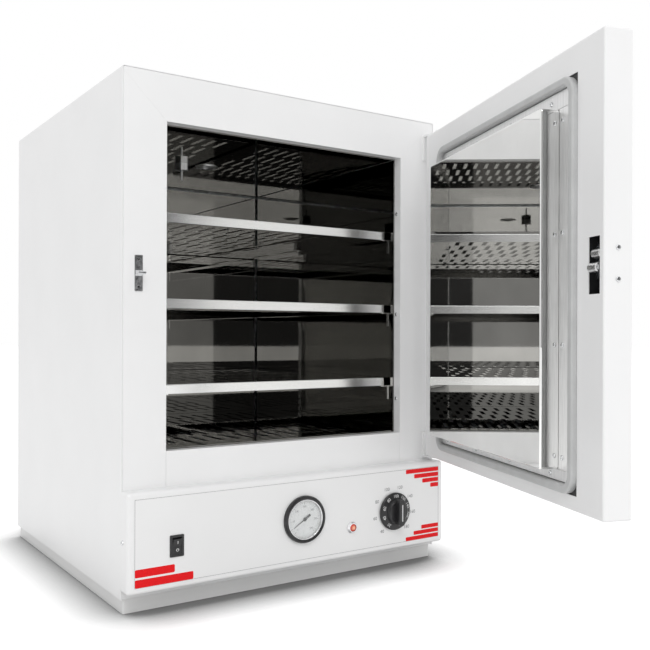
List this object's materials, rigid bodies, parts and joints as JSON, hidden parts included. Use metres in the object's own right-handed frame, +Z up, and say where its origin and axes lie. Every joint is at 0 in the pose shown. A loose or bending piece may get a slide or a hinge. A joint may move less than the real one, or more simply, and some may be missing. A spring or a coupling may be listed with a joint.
{
  "type": "hot air sterilizer",
  "caption": "Bench-top hot air sterilizer: white cabinet, mirror-lined chamber with pull-out perforated shelves, hinged plug door with seal and roller latch, control box.",
  "frame": {"origin": "on the floor, at the centre of the cabinet's base", "axes": "+Z up, +Y from the front to the back of the cabinet, +X to the right as seen from the front"},
  "size_m": [0.6122, 1.2083, 0.8535],
  "materials": {
    "white_enamel": "smooth white powder coat",
    "plinth_grey": "light grey powder coat",
    "door_enamel": "smooth white powder coat",
    "mirror_steel": "mirror-polished stainless steel",
    "liner_steel": "polished stainless steel, slightly hazed by heat",
    "brushed_steel": "satin stainless steel",
    "plated_steel": "bright plated steel",
    "galvanised": "galvanised sheet",
    "element_steel": "heat-darkened tube",
    "mineral_wool": "fibrous wool",
    "insulation_board": "fibrous board",
    "silicone": "matt grey silicone",
    "dark_lining": "matt black lining",
    "overlay_white": "satin white printed sheet",
    "black_plastic": "satin black moulding",
    "switch_black": "fine-grained black moulding",
    "knob_black": "semi-gloss black moulding",
    "dial_white": "matt white dial",
    "pointer_black": "matt black",
    "gauge_glass": "clear flat glass",
    "chrome": "bright chrome",
    "red_lens": "translucent red lens",
    "nylon": "natural nylon",
    "thermostat_case": "dark moulding"
  },
  "bodies": {
    "cabinet": {"outer_shell": "white_enamel", "plinth": "plinth_grey", "base_pan": "galvanised", "compartment_divider": "galvanised", "rear_panel": "white_enamel", "cable_gland": "switch_black", "front_top_rail": "white_enamel", "front_left_stile": "white_enamel", "front_right_stile": "white_enamel", "front_bottom_rail": "white_enamel", "front_frame_screws": "plated_steel", "case_screws": "plated_steel", "liner_left_wall": "liner_steel", "liner_right_wall": "liner_steel", "liner_ceiling": "liner_steel", "liner_back_wall": "liner_steel", "chamber_floor_plate": "liner_steel", "chamber_jacket": "galvanised", "insulation_blanket": "mineral_wool", "heating_element": "element_steel", "element_supports": "galvanised", "vent_tube": "brushed_steel", "temperature_probe": "brushed_steel", "strike_plate": "plated_steel", "hinge_bracket_top": "white_enamel", "hinge_bracket_bottom": "white_enamel", "shelf_rails_bottom": "liner_steel", "shelf_rails_middle": "liner_steel", "shelf_rails_top": "liner_steel", "control_panel": "white_enamel", "panel_overlay": "overlay_white", "switch_housing": "switch_black", "gauge_case": "galvanised", "gauge_bezel": "black_plastic", "gauge_dial": "dial_white", "gauge_glass": "gauge_glass", "lamp_bezel": "chrome", "lamp_lens": "red_lens", "thermostat_body": "thermostat_case"},
    "door": {"door_inner_shell": "door_enamel", "door_outer_panel": "door_enamel", "door_handle": "chrome", "door_backing_plate": "dark_lining", "door_insulation": "insulation_board", "door_gasket": "silicone", "door_plug": "mirror_steel", "retaining_strips": "brushed_steel", "door_screws": "plated_steel", "latch_case": "dark_lining", "latch_carrier": "plated_steel"},
    "latch_upper": {"latch_upper_roller": "nylon"},
    "latch_lower": {"latch_lower_roller": "nylon"},
    "bottom_shelf": {"shelf_bottom": "mirror_steel"},
    "middle_shelf": {"shelf_middle": "mirror_steel"},
    "top_shelf": {"shelf_top": "mirror_steel"},
    "power_switch": {"switch_rocker": "switch_black"},
    "thermometer_pointer": {"gauge_pointer": "pointer_black"},
    "thermostat_dial": {"thermostat_knob": "knob_black"},
    "vent_cap": {"vent_damper": "chrome"}
  },
  "joints": [
    {"name": "door_hinge", "type": "hinge", "parent": "cabinet", "child": "door", "pos_m": [0.288, -0.331, 0.4925], "axis": [0, 0, 1], "range_deg": [-71, 95]},
    {"name": "latch_upper_roller_spin", "type": "hinge", "parent": "door", "child": "latch_upper", "pos_m": [0.09289, -0.85926, 0.5167], "axis": [0.3256, 0.9455, 0], "continuous": true},
    {"name": "latch_lower_roller_spin", "type": "hinge", "parent": "door", "child": "latch_lower", "pos_m": [0.08816, -0.85763, 0.4993], "axis": [0.3256, 0.9455, 0], "continuous": true},
    {"name": "shelf_bottom_slide", "type": "slide", "parent": "cabinet", "child": "bottom_shelf", "axis": [0, -1, 0], "range_m": [0, 0.12]},
    {"name": "shelf_middle_slide", "type": "slide", "parent": "cabinet", "child": "middle_shelf", "axis": [0, -1, 0], "range_m": [0, 0.12]},
    {"name": "shelf_top_slide", "type": "slide", "parent": "cabinet", "child": "top_shelf", "axis": [0, -1, 0], "range_m": [0, 0.12]},
    {"name": "power_switch_rock", "type": "hinge", "parent": "cabinet", "child": "power_switch", "pos_m": [-0.225, -0.3284, 0.099], "axis": [-1, 0, 0], "range_deg": [0, 12]},
    {"name": "thermometer_pointer_turn", "type": "hinge", "parent": "cabinet", "child": "thermometer_pointer", "pos_m": [-0.001, -0.3366, 0.1115], "axis": [0, 1, 0], "range_deg": [-18, 262]},
    {"name": "thermostat_knob_turn", "type": "hinge", "parent": "cabinet", "child": "thermostat_dial", "pos_m": [0.187, -0.334, 0.103], "axis": [0, 1, 0], "range_deg": [0, 270]},
    {"name": "vent_damper_turn", "type": "hinge", "parent": "cabinet", "child": "vent_cap", "pos_m": [-0.033, -0.023, 0.842], "axis": [0, 0, 1], "range_deg": [0, 90]}
  ]
}
